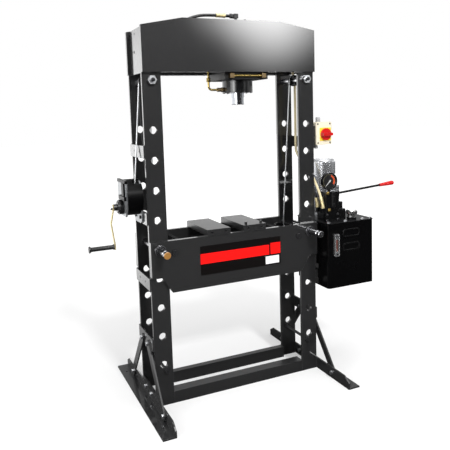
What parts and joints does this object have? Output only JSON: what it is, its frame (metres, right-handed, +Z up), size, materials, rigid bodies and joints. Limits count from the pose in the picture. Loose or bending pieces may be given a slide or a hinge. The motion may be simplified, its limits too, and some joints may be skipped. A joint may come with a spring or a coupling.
{
  "type": "hydraulic workshop press",
  "caption": "Floor-standing hydraulic workshop press with a sliding cylinder, pinned adjustable bed, hand winch and an electric power unit with gauge, lever valve and switch box.",
  "frame": {"origin": "On the floor, midway between the four anchor holes of the feet.", "axes": "+Z up; -Y towards the operator at the front; +X to the operator's right, where the power unit hangs."},
  "size_m": [1.8285, 0.88, 2.057],
  "materials": {
    "frame_paint": "satin charcoal paint",
    "black_paint": "satin black paint",
    "bolt_steel": "bright zinc",
    "dark_steel": "blackened",
    "zinc_plate": "grey zinc plating",
    "yellow_zinc": "yellow zinc plating",
    "chrome_steel": "hard chrome",
    "motor_aluminium": "cast, silver",
    "black_plastic": "matt",
    "red_plastic": "gloss",
    "box_plastic": "matt",
    "white_plastic": "matt",
    "clear_glass": "clear",
    "hose_rubber": "matt",
    "cream_rubber": "matt"
  },
  "bodies": {
    "frame": {"upright_front_left": "frame_paint", "upright_front_right": "frame_paint", "upright_rear_left": "frame_paint", "upright_rear_right": "frame_paint", "crown_front_plate": "frame_paint", "crown_rear_plate": "frame_paint", "crown_end_plates": "frame_paint", "crown_rails": "frame_paint", "side_bars": "frame_paint", "lower_beams": "frame_paint", "foot_left": "frame_paint", "foot_right": "frame_paint", "foot_braces": "frame_paint", "frame_bolts": "bolt_steel", "bed_front_plate": "frame_paint", "bed_rear_plate": "frame_paint", "bed_spacers": "frame_paint", "press_block_left": "frame_paint", "press_block_right": "frame_paint", "bed_panel": "black_plastic", "rope_axles": "bolt_steel", "rope_anchor": "black_paint", "lifting_rope": "bolt_steel", "winch_frame": "zinc_plate", "winch_cover": "black_paint", "tank_shell": "black_paint", "tank_lid": "black_paint", "sight_glass": "clear_glass", "motor_body": "motor_aluminium", "motor_cowl": "motor_aluminium", "valve_block": "black_paint", "gauge_case": "black_paint", "gauge_glass": "clear_glass", "switch_box": "box_plastic", "pressure_hose": "hose_rubber", "return_hose": "cream_rubber"},
    "carriage": {"carriage_plate": "frame_paint", "carriage_hangers": "frame_paint", "cylinder_barrel": "black_paint", "cylinder_cap": "black_paint", "cylinder_gland": "black_paint", "hydraulic_fittings": "black_paint", "zinc_pipes": "yellow_zinc"},
    "ram": {"ram_rod": "chrome_steel", "ram_head": "chrome_steel"},
    "pin_left": {"bed_pin_left": "dark_steel"},
    "pin_right": {"bed_pin_right": "dark_steel"},
    "drum": {"winch_drum": "bolt_steel", "rope_turns": "bolt_steel"},
    "crank": {"crank_shaft": "black_paint", "crank_arm": "yellow_zinc"},
    "grip": {"crank_grip": "black_plastic"},
    "pulley": {"top_pulley": "black_paint"},
    "sheave_left": {"bed_sheave_left": "black_paint"},
    "sheave_right": {"bed_sheave_right": "black_paint"},
    "lever": {"valve_lever": "black_paint", "lever_grip": "red_plastic"},
    "needle": {"gauge_needle": "white_plastic"},
    "knob": {"switch_knob": "red_plastic"},
    "cap": {"filler_cap": "chrome_steel"}
  },
  "joints": [
    {"name": "cylinder_slide", "type": "slide", "parent": "frame", "child": "carriage", "axis": [1, 0, 0], "range_m": [-0.27, 0.11], "deforming": ["pressure_hose", "return_hose"]},
    {"name": "ram_slide", "type": "slide", "parent": "carriage", "child": "ram", "axis": [0, 0, -1], "range_m": [0, 0.25]},
    {"name": "pin_left_slide", "type": "slide", "parent": "frame", "child": "pin_left", "axis": [0, -1, 0], "range_m": [0, 0.27]},
    {"name": "pin_right_slide", "type": "slide", "parent": "frame", "child": "pin_right", "axis": [0, -1, 0], "range_m": [0, 0.27]},
    {"name": "drum_turn", "type": "hinge", "parent": "frame", "child": "drum", "pos_m": [-0.548, 0, 1.105], "axis": [1, 0, 0], "continuous": true},
    {"name": "crank_turn", "type": "hinge", "parent": "frame", "child": "crank", "pos_m": [-0.6, 0, 1.0575], "axis": [1, 0, 0], "continuous": true},
    {"name": "grip_spin", "type": "hinge", "parent": "crank", "child": "grip", "pos_m": [-0.7, 0, 0.8525], "axis": [1, 0, 0], "continuous": true},
    {"name": "pulley_turn", "type": "hinge", "parent": "frame", "child": "pulley", "pos_m": [-0.447, 0, 1.695], "axis": [0, 1, 0], "continuous": true},
    {"name": "sheave_left_turn", "type": "hinge", "parent": "frame", "child": "sheave_left", "pos_m": [-0.371, 0.078, 0.818], "axis": [0, 1, 0], "continuous": true},
    {"name": "sheave_right_turn", "type": "hinge", "parent": "frame", "child": "sheave_right", "pos_m": [0.371, 0.078, 0.818], "axis": [0, 1, 0], "continuous": true},
    {"name": "lever_swing", "type": "hinge", "parent": "frame", "child": "lever", "pos_m": [0.632, -0.148, 1.037], "axis": [0, -1, 0], "range_deg": [-18, 18], "stiffness_Nm_per_rad": 12},
    {"name": "needle_swing", "type": "hinge", "parent": "frame", "child": "needle", "pos_m": [0.562, -0.184, 1.116], "axis": [0, 1, 0], "range_deg": [0, 270]},
    {"name": "knob_turn", "type": "hinge", "parent": "frame", "child": "knob", "pos_m": [0.572, -0.133, 1.383], "axis": [0, 1, 0], "range_deg": [0, 90]},
    {"name": "cap_turn", "type": "hinge", "parent": "frame", "child": "cap", "pos_m": [0.706, -0.192, 0.91], "axis": [0, 0, 1], "range_deg": [0, 90]}
  ],
  "couplings": [
    {"joint": "crank_turn", "follows": "drum_turn", "ratio": -2.8},
    {"joint": "pulley_turn", "follows": "drum_turn", "ratio": -1.337},
    {"joint": "sheave_left_turn", "follows": "drum_turn", "ratio": 0.547},
    {"joint": "sheave_right_turn", "follows": "drum_turn", "ratio": 0.547}
  ]
}
